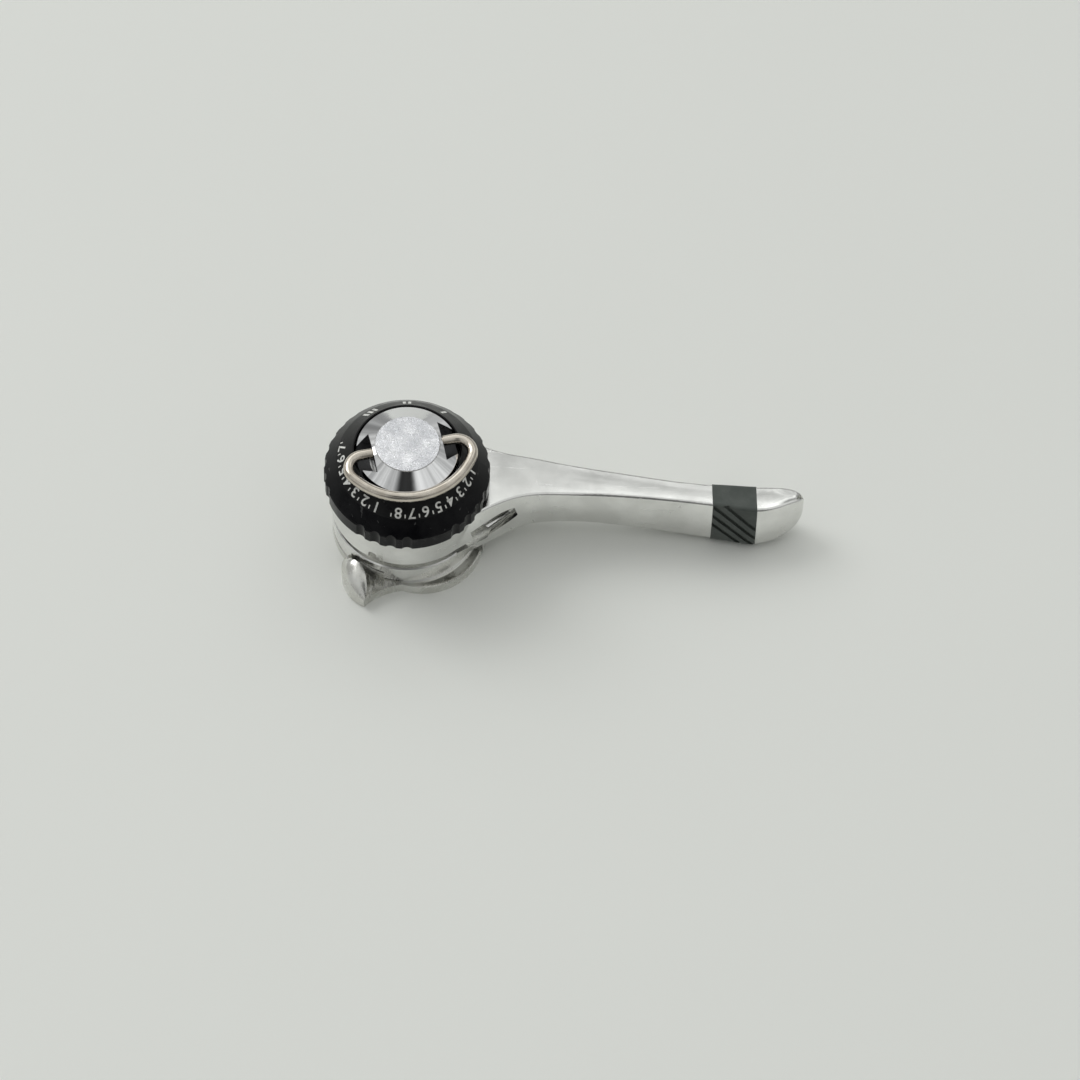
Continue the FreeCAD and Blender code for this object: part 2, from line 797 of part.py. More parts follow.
def make_lever():
    """Drum and blade in one forging, with every recess cut."""
    top = size("hub_top") + size("spigot_height")
    core = make_blade(-size("band_depth"))
    blade = make_blade().cut(band_slab().cut(core))
    groove_top = size("groove_base") + size("groove_height")
    groove = ring_sector(size("groove_radius"), size("hub_radius") + 2 * MARGIN, size("groove_base"),
                         groove_top, size("groove_centre"), size("groove_span"))
    root_trim = cylinder(size("hub_radius"), size("hub_top") - size("hub_edge") / 2, top + MARGIN)
    lever = make_hub().fuse(blade.cut(root_trim)).removeSplitter()
    lever = lever.cut(groove)
    lever = lever.cut(cylinder(size("cavity_radius"), size("web_top"), top + MARGIN))
    lever = lever.cut(cylinder(bush_outer, lever_base - MARGIN, size("web_top") + MARGIN))
    notch_top = lever_base + size("notch_height")
    notch = ring_sector(size("flange_radius") - size("notch_depth"), size("flange_radius") + MARGIN,
                        lever_base - MARGIN, notch_top, size("notch_angle"), size("notch_span"))
    lever = lever.cut(notch)
    lug_inside = size("hub_radius") + size("lug_gap")
    lug = ring_sector(lug_inside, lug_inside + size("lug_width"), size("lug_base"),
                      lever_base + 2 * MARGIN, size("lug_angle"), size("lug_span"))
    lever = lever.fuse(lug).removeSplitter()
    mark_foot = polar(size("hub_radius") - size("mark_depth"), size("mark_angle"), groove_top)
    outward = polar(1, size("mark_angle"))
    round_height = size("mark_height") - size("mark_radius")
    mark_length = size("mark_depth") + MARGIN
    mark = Part.makeCylinder(size("mark_radius"), mark_length, mark_foot + Z_AXIS * round_height,
                             outward)
    stem = Part.makeBox(mark_length, 2 * size("mark_radius"), round_height + size("mark_radius"),
                        Vector(0, -size("mark_radius"), -size("mark_radius")))
    stem.rotate(Vector(), Z_AXIS, size("mark_angle"))
    stem.translate(mark_foot)
    lever = lever.cut(mark.fuse(stem))
    lever = lever.cut(cable_seat())
    for number in range(int(size("ball_count"))):
        place = polar(size("ball_circle"), number * 360 / size("ball_count"))
        pocket = cylinder(size("ball_radius") + size("running_gap"), size("pocket_floor"),
                          size("web_top") + MARGIN, place)
        lever = lever.cut(pocket)
    mode_place = polar(size("mode_ball_circle"), size("mode_ball_angle"))
    lever = lever.cut(cylinder(size("mode_ball_radius") + size("running_gap"),
                               size("hub_top") - size("mode_pocket_depth"),
                               size("hub_top") + MARGIN, mode_place))
    clip_cut = ring_sector(size("spigot_radius") - size("clip_bite"), size("spigot_radius") + MARGIN,
                           size("clip_base"), size("clip_base") + size("clip_height"), 0, 360)
    return lever.cut(clip_cut)


bush_outer = level(f"{BUSH_RADIUS} + bush_wall")
shape_part("lever_body", make_lever())

turned_part("lever_bush", [
    (BUSH_RADIUS, LEVER_BASE),
    (f"{BUSH_RADIUS} + bush_wall", LEVER_BASE),
    (f"{BUSH_RADIUS} + bush_wall", "web_top"),
    ("bush_flange_radius", "web_top"),
    ("bush_flange_radius", "web_top + bush_flange"),
    (BUSH_RADIUS, "web_top + bush_flange"),
])


def make_band():
    """The rubber band round the blade, with slanted grip grooves in its front face."""
    outer = make_blade(size("band_proud")).common(band_slab())
    band = outer.cut(make_blade(-size("band_depth")))
    groove_floor = make_blade(size("band_proud") - size("rib_depth"))
    box = outer.BoundBox
    margin = size("rib_margin")
    patch = Part.makeBox(box.XLength - 2 * margin, box.YLength / 2,
                         box.ZLength - margin - size("rib_ridge_margin"),
                         Vector(box.XMin + margin, box.YMin - 1, box.ZMin + margin))
    width, length, reach = size("rib_width"), size("rib_length"), box.YLength
    for number in range(int(size("rib_count"))):
        height = box.ZMax - size("rib_first_drop") - number * size("rib_drop")
        rib = Part.makeBox(width, reach, length, Vector(-width / 2, -reach / 2, -length / 2))
        rib.rotate(Vector(), Vector(0, 1, 0), -size("rib_slant"))
        rib.translate(Vector(box.Center.x, box.YMin, height))
        band = band.cut(rib.common(patch).cut(groove_floor))
    return band


shape_part("grip_band", make_band())

# ---------------------------------------------------------------- click balls and springs


def coil(radius, wire, turns, base, top, centre):
    """A closed-ended compression spring standing on its base."""
    height = top - base - 2 * wire
    path = Part.Wire(Part.makeHelix(height / turns, height, radius))
    section = Part.Wire(Part.makeCircle(wire, Vector(radius, 0, 0), Vector(0, 1, 0)))
    spring = path.makePipeShell([section], True, True)
    spring.translate(Vector(centre.x, centre.y, base + wire))
    return spring


def make_balls():
    """The click balls, standing just clear of the index disc."""
    top = disc_base - size("ball_play")
    circle = [polar(size("ball_circle"), n * 360 / size("ball_count"), top - size("ball_radius"))
              for n in range(int(size("ball_count")))]
    return Part.makeCompound([Part.makeSphere(size("ball_radius"), place) for place in circle])


def make_springs():
    """One coil spring under each click ball."""
    top = disc_base - size("ball_play") - 2 * size("ball_radius") + size("spring_bite")
    springs = []
    for number in range(int(size("ball_count"))):
        place = polar(size("ball_circle"), number * 360 / size("ball_count"))
        springs.append(coil(size("coil_radius"), size("coil_wire"), size("coil_turns"),
                            size("pocket_floor"), top, place))
    return Part.makeCompound(springs)


shape_part("detent_balls", make_balls())
shape_part("detent_springs", make_springs())

mode_spot = polar(size("mode_ball_circle"), size("mode_ball_angle"))
mode_ball_height = size("hub_top") + size("free_gap") - size("face_gap") - size("mode_ball_radius")
shape_part("mode_ball", Part.makeSphere(
    size("mode_ball_radius"), Vector(mode_spot.x, mode_spot.y, mode_ball_height)))
shape_part("mode_spring", coil(
    size("mode_ball_radius") - 2 * size("coil_wire"), size("coil_wire"), size("coil_turns"),
    size("hub_top") - size("mode_pocket_depth"),
    mode_ball_height - size("mode_ball_radius") + size("spring_bite"), mode_spot))

# ---------------------------------------------------------------- selector ring

RING_BASE = "(hub_top + free_gap)"
RING_BORE = "(spigot_radius + running_gap)"
ring_base = level(RING_BASE)

SCALLOP_GROUPS = ((-2.0, 8), (130.0, 7), (236.0, 4), (305.0, 4))


def make_index_ring():
    """The selector ring, with finger scallops and click dimples under it."""
    blank = turned_part("index_ring_blank", [
        (RING_BORE, RING_BASE),
        ("ring_radius", RING_BASE),
        ("ring_radius", f"{RING_BASE} + ring_side_height - ring_edge"),
        ("ring_radius - ring_edge_width", f"{RING_BASE} + ring_side_height + ring_edge / 4"),
        ("ring_shoulder_radius", "ring_shoulder_height"),
        ("ring_lip_radius", "ring_lip_height"),
        ("ring_lip_radius - ring_lip_width", "ring_lip_height"),
        ("ring_lip_radius - ring_lip_width", "ring_lip_height - ring_roof"),
        ("ring_shoulder_radius - ring_wall", "ring_shoulder_height - ring_shell"),
        ("ring_shoulder_radius - ring_wall", "ring_web_base + ring_web_height"),
        ("disc_radius + face_gap", "ring_web_base + ring_web_height"),
        ("disc_radius + face_gap", "ring_web_base"),
        (RING_BORE, "ring_web_base"),
    ])
    SUB_PARTS.remove(blank)
    doc.recompute()
    shape = blank.Shape.copy()
    reach = size("ring_radius") + size("scallop_radius") - size("scallop_depth")
    for start, count in SCALLOP_GROUPS:
        for number in range(count):
            place = polar(reach, start + number * size("scallop_pitch"))
            shape = shape.cut(cylinder(size("scallop_radius"), ring_base - MARGIN,
                                       size("ring_shoulder_height"), place))
    for step in (-1, 0, 1):
        place = polar(size("mode_ball_circle"), size("mode_ball_angle") + step * size("mode_step"),
                      ring_base)
        shape = shape.cut(Part.makeSphere(size("mode_ball_radius"), place))
    inner = size("spigot_radius") - MARGIN
    gap = size("free_gap")
    clip_room = ring_sector(inner, size("spigot_radius") + size("clip_bite") + gap,
                            size("clip_base") - gap,
                            size("clip_base") + size("clip_height") + gap, 0, 360)
    return shape.cut(clip_room)


shape_part("index_ring", make_index_ring())

shape_part("ring_clip", ring_sector(
    size("spigot_radius") - size("clip_bite") + size("clip_gap"), size("spigot_radius") + size("clip_bite"),
    size("clip_base") + size("clip_gap"), size("clip_base") + size("clip_height") - size("clip_gap"),
    180, 360 - size("clip_opening")))

# ---------------------------------------------------------------- clamp screw


def place_on_bail_axis(shape):
    """Turn a shape from the bail's own X axis to where the bail's axis lies."""
    shape.rotate(Vector(), Z_AXIS, size("bail_turn"))
    return shape


def window(side):
    """One window in the head, where a leg of the bail enters."""
    inner, outer = size("window_distance"), size("window_reach")
    near, far = size("window_inner_half"), size("window_outer_half")
    floor = size("head_base") - MARGIN
    corners = [Vector(side * inner, -near, floor), Vector(side * outer, -far, floor),
               Vector(side * outer, far, floor), Vector(side * inner, near, floor)]
    face = Part.Face(Part.makePolygon(corners + corners[:1]))
    return face.extrude(Vector(0, 0, size("head_top") - floor + MARGIN))


def make_bolt():
    """The clamp screw: conical head with two windows, plain shank and chamfered tip."""
    blank = turned_part("bolt_blank", [
        ("0", "screw_tip"),
        ("screw_radius - screw_chamfer", "screw_tip"),
        ("screw_radius", "screw_tip + screw_chamfer"),
        ("screw_radius", "retainer_top - retainer_height"),
        ("retainer_groove", "retainer_top - retainer_height"),
        ("retainer_groove", "retainer_top"),
        ("screw_radius", "retainer_top"),
        ("screw_radius", "head_base"),
        ("head_radius - head_edge", "head_base"),
        ("head_radius", "head_base + head_edge"),
        ("head_radius", "head_rim"),
        ("head_face_radius + head_edge", "head_top - head_edge"),
        ("head_face_radius", "head_top"),
        ("0", "head_top"),
    ])
    SUB_PARTS.remove(blank)
    doc.recompute()
    shape = blank.Shape.copy()
    bore_radius = size("stub_radius") + size("running_gap")
    for side in (1, -1):
        shape = shape.cut(place_on_bail_axis(window(side)))
        mouth = Vector(side * (size("window_distance") + MARGIN), 0, size("bail_height"))
        stub_bore = Part.makeCylinder(bore_radius, size("stub_depth") + MARGIN + size("free_gap"),
                                      mouth, Vector(-side, 0, 0))
        shape = shape.cut(place_on_bail_axis(stub_bore))
    return shape


shape_part("bolt", make_bolt())
turned_ring("bolt_retainer", "retainer_groove", "retainer_radius",
            "retainer_top - retainer_height", "retainer_top")

# ---------------------------------------------------------------- bail


def bail_path():
    """The centre line of the bail: leg, corner, front arc, corner, leg, in its own plane."""
    leg, corner, reach = size("leg_length"), size("corner_radius"), size("bail_reach")
    # A front arc that touches both corners inside and passes through the reach.
    front = (leg ** 2 + (reach - corner) ** 2 - corner ** 2) / (2 * (reach - 2 * corner))
    centre_y = front - reach
    toward = math.atan2(-corner - centre_y, leg)
    join = Vector(front * math.cos(toward), centre_y + front * math.sin(toward), 0)
    start = Vector(size("window_distance") + size("free_gap"), 0, 0)
    bend_start = Vector(leg, 0, 0)
    half = (math.pi / 2 + toward) / 2
    bend_turn = toward + half
    bend_middle = Vector(leg + corner * math.cos(bend_turn), corner * (math.sin(bend_turn) - 1), 0)

    def flip(point):
        return Vector(-point.x, point.y, point.z)

    pieces = [
        Part.LineSegment(start, bend_start),
        Part.Arc(bend_start, bend_middle, join),
        Part.Arc(join, Vector(0, -reach, 0), flip(join)),
        Part.Arc(flip(join), flip(bend_middle), flip(bend_start)),
        Part.LineSegment(flip(bend_start), flip(start)),
    ]
    return Part.Wire([piece.toShape() for piece in pieces]), start


def make_bail():
    """The wire bail with its two turned-down ends, lying over the front of the ring."""
    path, start = bail_path()
    section = Part.Wire(Part.makeCircle(size("wire_radius"), start, Vector(1, 0, 0)))
    wire = path.makePipeShell([section], True, True)
    for side in (1, -1):
        stub = Part.makeCylinder(size("stub_radius"),
                                 size("stub_depth") + size("free_gap") + size("stub_overlap"),
                                 Vector(side * (start.x + size("stub_overlap")), 0, 0),
                                 Vector(-side, 0, 0))
        wire = wire.fuse(stub)
    wire.rotate(Vector(), Vector(1, 0, 0), size("bail_droop"))
    wire.translate(Vector(0, 0, size("bail_height")))
    return place_on_bail_axis(wire)


shape_part("bail", make_bail())

# ---------------------------------------------------------------- check and export

doc.recompute()
for item in doc.Objects:
    if "Invalid" in item.State or "Error" in item.State:
        raise RuntimeError(f"{item.Label} failed: {item.State}")

os.makedirs("parts", exist_ok=True)
for item in SUB_PARTS:
    shape = item.Shape
    if shape.isNull() or not shape.isValid() or not shape.Solids:
        raise RuntimeError(f"{item.Label} has no valid shape")
    shape.exportStep(f"parts/{item.Label}.step")
    print(item.Label, len(shape.Solids), round(shape.Volume, 2))
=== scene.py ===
import json
import math

import bpy
from mathutils import Matrix, Vector


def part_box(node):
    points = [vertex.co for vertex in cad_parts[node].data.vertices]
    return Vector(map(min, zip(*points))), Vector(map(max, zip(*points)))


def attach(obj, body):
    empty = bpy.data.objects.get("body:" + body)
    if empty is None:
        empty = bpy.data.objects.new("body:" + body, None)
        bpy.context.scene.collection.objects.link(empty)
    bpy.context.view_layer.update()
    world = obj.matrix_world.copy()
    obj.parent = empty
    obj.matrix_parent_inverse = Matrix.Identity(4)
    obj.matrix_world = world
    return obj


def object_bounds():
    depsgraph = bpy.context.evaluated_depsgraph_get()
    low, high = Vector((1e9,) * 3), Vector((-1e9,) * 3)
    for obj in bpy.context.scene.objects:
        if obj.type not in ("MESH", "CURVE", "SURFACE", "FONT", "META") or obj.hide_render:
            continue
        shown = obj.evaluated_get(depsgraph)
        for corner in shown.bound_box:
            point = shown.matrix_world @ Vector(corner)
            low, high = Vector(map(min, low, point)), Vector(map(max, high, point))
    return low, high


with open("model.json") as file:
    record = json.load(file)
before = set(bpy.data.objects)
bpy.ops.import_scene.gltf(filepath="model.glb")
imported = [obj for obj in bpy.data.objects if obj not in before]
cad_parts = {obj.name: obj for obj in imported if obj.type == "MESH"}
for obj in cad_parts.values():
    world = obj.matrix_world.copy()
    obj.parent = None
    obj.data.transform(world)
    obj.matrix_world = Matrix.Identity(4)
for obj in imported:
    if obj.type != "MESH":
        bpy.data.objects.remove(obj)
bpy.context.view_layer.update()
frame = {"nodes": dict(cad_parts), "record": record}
NODES = frame["nodes"]

# ------------------------------------------------------------------ sizes, in metres

MM = 0.001
SENSOR_WIDTH = 36.0
LENS = 166.6667
CAMERA_DISTANCE = 0.8130081
VIEW_ELEVATION = math.radians(58.3)
VIEW_ROLL = math.radians(3.2)
VIEW_TURN = -math.atan(math.tan(VIEW_ROLL) / math.sin(VIEW_ELEVATION))
VIEW_LINE = Vector((-math.sin(VIEW_TURN) * math.cos(VIEW_ELEVATION),
                    math.cos(VIEW_TURN) * math.cos(VIEW_ELEVATION), -math.sin(VIEW_ELEVATION)))
VIEW_TARGET = Vector((21.7 * MM, -2.85 * MM, 0.0))

# The selector ring's upper cone and the screw head, from the ring's and the screw's boxes.
ring_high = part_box("index_ring")[1]
RING_RADIUS = ring_high.x
RING_TOP = ring_high.z
SHOULDER_RADIUS = RING_RADIUS - 2.0 * MM
SHOULDER_HEIGHT = RING_TOP - 2.8 * MM
LIP_RADIUS = RING_RADIUS - 4.55 * MM
HEAD_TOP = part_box("bolt")[1].z

# ------------------------------------------------------------------ shader arithmetic


class Signal:
    """A shader socket that sums and products can be written on."""

    def __init__(self, paint, socket):
        self.paint = paint
        self.socket = socket

    def combine(self, operation, first, second):
        return self.paint.node("ShaderNodeMath", {"operation": operation}, {0: first, 1: second})

    def __add__(self, other):
        return self.combine("ADD", self, other)

    def __radd__(self, other):
        return self.combine("ADD", other, self)

    def __rsub__(self, other):
        return self.combine("SUBTRACT", other, self)

    def __mul__(self, other):
        return self.combine("MULTIPLY", self, other)

    def __rmul__(self, other):
        return self.combine("MULTIPLY", other, self)

    def __pow__(self, other):
        return self.combine("POWER", self, other)


class Graph:
    """A node tree that nodes are added to one call at a time."""

    def __init__(self, tree):
        self.tree = tree

    def node(self, kind, settings, values, output=0):
        """Any node: its settings first, then the values or signals of its sockets."""
        made = self.tree.nodes.new(kind)
        for label, value in settings.items():
            setattr(made, label, value)
        for label, value in values.items():
            if isinstance(value, Signal):
                self.tree.links.new(value.socket, made.inputs[label])
            else:
                made.inputs[label].default_value = value
        return Signal(self, made.outputs[output])

    def noise(self, scale, detail=3.0, roughness=0.5, place=None, stretch=None):
        """Cloudy noise between 0 and 1, optionally drawn out along an axis."""
        place = place or self.place
        if stretch:
            place = self.node("ShaderNodeMapping", {}, {"Vector": place, "Scale": stretch})
        return self.node("ShaderNodeTexNoise", {},
                         {"Vector": place, "Scale": scale, "Detail": detail, "Roughness": roughness})

    def ramp(self, signal, low, high, start=0.0, end=1.0):
        """A clamped smooth ramp from one value to another."""
        return self.node("ShaderNodeMapRange", {"clamp": True, "interpolation_type": "SMOOTHSTEP"},
                         {"Value": signal, 1: low, 2: high, 3: start, 4: end})

    def blend(self, mask, first, second):
        """A colour between two others."""
        return self.node("ShaderNodeMix", {"data_type": "RGBA"}, {0: mask, 6: first, 7: second}, 2)


class Paint(Graph):
    """One procedural material, built round a single surface shader."""

    def __init__(self, name, **constants):
        self.material = bpy.data.materials.new(name)
        self.material.use_nodes = True
        super().__init__(self.material.node_tree)
        self.shader = self.tree.nodes["Principled BSDF"]
        for label, value in constants.items():
            self.shader.inputs[label.replace("_", " ")].default_value = value
        self.place = self.node("ShaderNodeTexCoord", {}, {}, "Object")
        self.across = self.node("ShaderNodeSeparateXYZ", {}, {0: self.place}, "X")
        self.along = self.node("ShaderNodeSeparateXYZ", {}, {0: self.place}, "Y")
        self.height = self.node("ShaderNodeSeparateXYZ", {}, {0: self.place}, "Z")

    def radius(self):
        """Distance from the pivot axis."""
        return (self.across * self.across + self.along * self.along) ** 0.5

    def feed(self, **links):
        """Join signals to the shader's varying sockets."""
        for label, value in links.items():
            self.tree.links.new(value.socket, self.shader.inputs[label.replace("_", " ")])

    def bump(self, height, strength, distance):
        """Fine relief from a height signal."""
        relief = self.node("ShaderNodeBump", {}, {"Height": height, "Strength": strength,
                                                  "Distance": distance})
        self.feed(Normal=relief)


def rgb(red, green, blue):
    return (red, green, blue, 1.0)


def scratches(paint, scale, stretch, edge=0.63):
    """Thin stray lines: 1 on a line, 0 elsewhere."""
    streak = paint.noise(scale, 2.0, 0.6, stretch=stretch)
    return paint.ramp(streak, edge, edge + 0.03)


def polished_alloy():
    """Hand-polished aluminium with faint smears, hairlines and small scuffs."""
    paint = Paint("polished_alloy", Metallic=1.0)
    smear = paint.noise(170.0, 4.0, 0.55)
    grain = paint.noise(900.0, 3.0, 0.6, stretch=(0.12, 1.0, 1.0))
    hair = scratches(paint, 1500.0, (0.05, 1.0, 0.7), 0.66)
    nick = scratches(paint, 700.0, (1.0, 0.25, 1.0), 0.70)
    dull = paint.noise(90.0, 5.0, 0.6, stretch=(0.5, 1.0, 1.0))
    shade = paint.blend(paint.ramp(smear, 0.35, 0.7), rgb(0.74, 0.74, 0.72), rgb(0.86, 0.86, 0.84))
    paint.feed(Base_Color=shade,
               Roughness=paint.ramp(dull, 0.35, 0.7, 0.12, 0.26) + hair * 0.12 + nick * 0.18)
    paint.bump(grain * 0.5 + hair * 0.4 + nick * 0.5 + smear * 1.2, 0.16, 0.05 * MM)
    return paint.material


def plate_alloy():
    """Polished plate, duller and more marked than the lever, patchily yellowed."""
    paint = Paint("polished_plate", Metallic=1.0)
    smear = paint.noise(260.0, 5.0, 0.6)
    hair = scratches(paint, 1200.0, (1.0, 0.2, 0.6), 0.62)
    shade = paint.blend(paint.ramp(smear, 0.35, 0.7), rgb(0.64, 0.635, 0.60), rgb(0.80, 0.80, 0.77))
    paint.feed(Base_Color=shade, Roughness=paint.ramp(smear, 0.3, 0.7, 0.17, 0.34) + hair * 0.12)
    paint.bump(smear + hair * 0.4, 0.18, 0.05 * MM)
    return paint.material


def head_chrome():
    """Chromed head: a mirror cone under a finely frosted, sparkling top."""
    paint = Paint("head_chrome", Metallic=1.0)
    top = paint.ramp(paint.height, HEAD_TOP - 0.12 * MM, HEAD_TOP - 0.04 * MM)
    sparkle = paint.noise(3000.0, 4.0, 0.85)
    cloud = paint.noise(420.0, 3.0, 0.5)
    worn = paint.noise(260.0, 5.0, 0.65)
    frosted = paint.blend(paint.ramp(worn, 0.38, 0.66), rgb(0.58, 0.585, 0.61), rgb(0.80, 0.80, 0.82))
    shade = paint.blend(top, rgb(0.84, 0.84, 0.85), frosted)
    frost = paint.ramp(sparkle, 0.3, 0.7, 0.20, 0.38)
    paint.feed(Base_Color=shade,
               Roughness=top * frost + (1.0 - top) * paint.ramp(cloud, 0.3, 0.7, 0.03, 0.07))
    paint.bump(sparkle * top + cloud * 0.03, 1.0, 0.12 * MM)
    return paint.material


def nickel_wire():
    """Drawn wire with a warm nickel tint, dulled by handling."""
    paint = Paint("nickel_wire", Metallic=1.0)
    cloud = paint.noise(350.0, 4.0, 0.55)
    hair = scratches(paint, 1900.0, (0.4, 0.4, 1.0), 0.64)
    shade = paint.blend(paint.ramp(cloud, 0.3, 0.7), rgb(0.50, 0.45, 0.385), rgb(0.66, 0.61, 0.54))
    paint.feed(Base_Color=shade, Roughness=paint.ramp(cloud, 0.3, 0.7, 0.11, 0.22) + hair * 0.1)
    paint.bump(cloud + hair * 0.5, 0.16, 0.04 * MM)
    return paint.material


def ring_black():
    """Gloss black anodising, with a satin band where the marks are printed."""
    paint = Paint("black_anodised", IOR=1.22)
    band = paint.ramp(paint.height, SHOULDER_HEIGHT - 0.02 * MM, SHOULDER_HEIGHT + 0.04 * MM)
    cloud = paint.noise(500.0, 4.0, 0.6)
    hair = scratches(paint, 1300.0, (1.0, 0.3, 1.0), 0.69)
    edge_wear = paint.ramp(paint.radius(), RING_RADIUS - 0.22 * MM, RING_RADIUS + 0.05 * MM)
    rub = edge_wear * paint.ramp(paint.noise(650.0, 5.0, 0.7), 0.48, 0.72)
    deep = paint.blend(paint.ramp(cloud, 0.3, 0.7), rgb(0.002, 0.002, 0.003), rgb(0.006, 0.006, 0.007))
    grey = paint.blend(paint.ramp(cloud, 0.3, 0.7), rgb(0.007, 0.007, 0.008), rgb(0.014, 0.014, 0.014))
    shade = paint.blend(band, deep, grey)
    worn = paint.blend(rub * 0.22, shade, rgb(0.12, 0.12, 0.12))
    paint.feed(Base_Color=paint.blend(hair * 0.2, worn, rgb(0.2, 0.2, 0.2)),
               Roughness=band * 0.10 + paint.ramp(cloud, 0.3, 0.7, 0.16, 0.27) + hair * 0.2)
    paint.bump(cloud + hair * 0.3, 0.12, 0.03 * MM)
    return paint.material


def grip_rubber():
    """Dark grey-green rubber with a faint moulded grain."""
    paint = Paint("grip_rubber", IOR=1.45)
    grain = paint.noise(2600.0, 3.0, 0.6)
    dust = paint.noise(300.0, 5.0, 0.65)
    shade = paint.blend(paint.ramp(dust, 0.35, 0.75), rgb(0.060, 0.070, 0.063), rgb(0.092, 0.103, 0.094))
    paint.feed(Base_Color=shade, Roughness=paint.ramp(dust, 0.3, 0.7, 0.48, 0.62))
    paint.bump(grain, 0.35, 0.05 * MM)
    return paint.material


def turned_metal(name, dark, light, low, high):
    """Steel turned on a lathe: fine rings about the pivot axis."""
    paint = Paint(name, Metallic=1.0)
    rings = paint.node("ShaderNodeTexNoise", {"noise_dimensions": "1D"},
                       {"W": paint.radius() * 9000.0 + paint.height * 6000.0, "Detail": 2.0})
    cloud = paint.noise(400.0, 4.0, 0.6)
    paint.feed(Base_Color=paint.blend(cloud, rgb(*dark), rgb(*light)),
               Roughness=paint.ramp(rings + cloud, 0.6, 1.4, low, high))
    paint.bump(rings, 0.15, 0.02 * MM)
    return paint.material


def nylon():
    """Translucent natural nylon with dull cloudy patches."""
    paint = Paint("nylon", IOR=1.53)
    cloud = paint.noise(300.0, 4.0, 0.6)
    paint.feed(Base_Color=paint.blend(cloud, rgb(0.70, 0.67, 0.58), rgb(0.83, 0.80, 0.72)),
               Roughness=paint.ramp(cloud, 0.3, 0.7, 0.35, 0.5))
    paint.bump(cloud, 0.2, 0.05 * MM)
    return paint.material


def mark_white():
    """Off-white printing ink, a little worn."""
    paint = Paint("mark_white", IOR=1.5)
    wear = paint.noise(1500.0, 4.0, 0.7)
    paint.feed(Base_Color=paint.blend(paint.ramp(wear, 0.4, 0.75), rgb(0.78, 0.78, 0.75),
                                      rgb(0.42, 0.42, 0.41)),
               Roughness=paint.ramp(wear, 0.3, 0.7, 0.4, 0.55))
    return paint.material


def black_oxide():
    """Near-black steel: painted shade, darkened to stand in for the shadow inside the head's windows
    where this part shows through.
    """
    paint = Paint("black_oxide", Metallic=0.6)
    cloud = paint.noise(600.0, 4.0, 0.6)
    paint.feed(Base_Color=paint.blend(cloud, rgb(0.012, 0.012, 0.013), rgb(0.04, 0.04, 0.042)),
               Roughness=paint.ramp(cloud, 0.3, 0.7, 0.25, 0.45))
    paint.bump(cloud, 0.2, 0.03 * MM)
    return paint.material


FINISHES = {
    "polished_alloy": polished_alloy(),
    "polished_plate": plate_alloy(),
    "head_chrome": head_chrome(),
    "nickel_wire": nickel_wire(),
    "black_anodised": ring_black(),
    "grip_rubber": grip_rubber(),
    "nylon": nylon(),
    # black_oxide: near-black steel, painted shade standing in for the shadow seen through the head's
    # windows
    "black_oxide": black_oxide(),
    "turned_steel": turned_metal("turned_steel", (0.40, 0.40, 0.40), (0.58, 0.58, 0.57), 0.22, 0.38),
    "spring_steel": turned_metal("spring_steel", (0.30, 0.29, 0.28), (0.46, 0.45, 0.43), 0.25, 0.42),
    "bearing_steel": turned_metal("bearing_steel", (0.60, 0.60, 0.61), (0.75, 0.75, 0.76), 0.06, 0.12),
}
MARK_WHITE = mark_white()

# ------------------------------------------------------------------ finishes of the CAD nodes

for entry in frame["record"]["subparts"]:
    node = NODES[entry["node"]]
    node.data.materials.clear()
    node.data.materials.append(FINISHES[entry["material_slot"]])

# ------------------------------------------------------------------ marks on the selector ring

SLOPE = Vector((SHOULDER_RADIUS - LIP_RADIUS, SHOULDER_HEIGHT - RING_TOP))
INK_HEIGHT = 0.015 * MM
FIGURE_SIZE = 2.5 * MM
FIGURE_WEIGHT = 0.035 * MM
FIGURE_FOOT = 1.95 * MM
FIGURE_STEP = 12.0
FIGURE_SCALES = ((346, 8), (242, 7))
TICK_WIDTH = 0.28 * 0.7 * MM
TICK_SPAN = (0.35 * MM, 0.95 * MM)
MODE_MARKS = ((55, 1), (90, 2), (125, 3))
MODE_BAR_WIDTH = 0.28 * 1.7 * MM
MODE_BAR_SPAN = (0.6 * MM, 2.7 * MM)
MODE_BAR_STEP = 4.8
MERGE_DISTANCE = 0.001 * MM


def on_cone(across, outward, angle):
    """The point on the ring's upper cone at an angle, so far round it and so far above its edge."""
    share = 1 - outward / SLOPE.length
    radius = SHOULDER_RADIUS - SLOPE.x * share
    height = SHOULDER_HEIGHT - SLOPE.y * share
    turn = math.radians(angle) - across / radius
    normal = Vector((-SLOPE.y, SLOPE.x)).normalized() * INK_HEIGHT
    reach = radius + normal.x
    return Vector((reach * math.cos(turn), reach * math.sin(turn), height + normal.y))


def wrap_on_cone(piece, angle):
    """Lay a flat mesh on the ring's cone, its top towards the ring's outer edge."""
    bpy.ops.object.transform_apply(location=True, rotation=True, scale=True)
    for vertex in piece.data.vertices:
        vertex.co = on_cone(vertex.co.x, vertex.co.y, angle)
    piece.data.materials.clear()
    piece.data.materials.append(MARK_WHITE)
    return piece


def figure(word, angle):
    """A numeral printed on the cone."""
    bpy.ops.object.select_all(action="DESELECT")
    bpy.ops.object.text_add(location=(0, SLOPE.length - FIGURE_FOOT, 0))
    letters = bpy.context.object
    letters.data.body = word
    letters.data.align_x = "CENTER"
    letters.data.size = FIGURE_SIZE
    letters.data.offset = FIGURE_WEIGHT
    letters.data.resolution_u = 6
    bpy.ops.object.convert(target="MESH")
    return wrap_on_cone(bpy.context.object, angle)


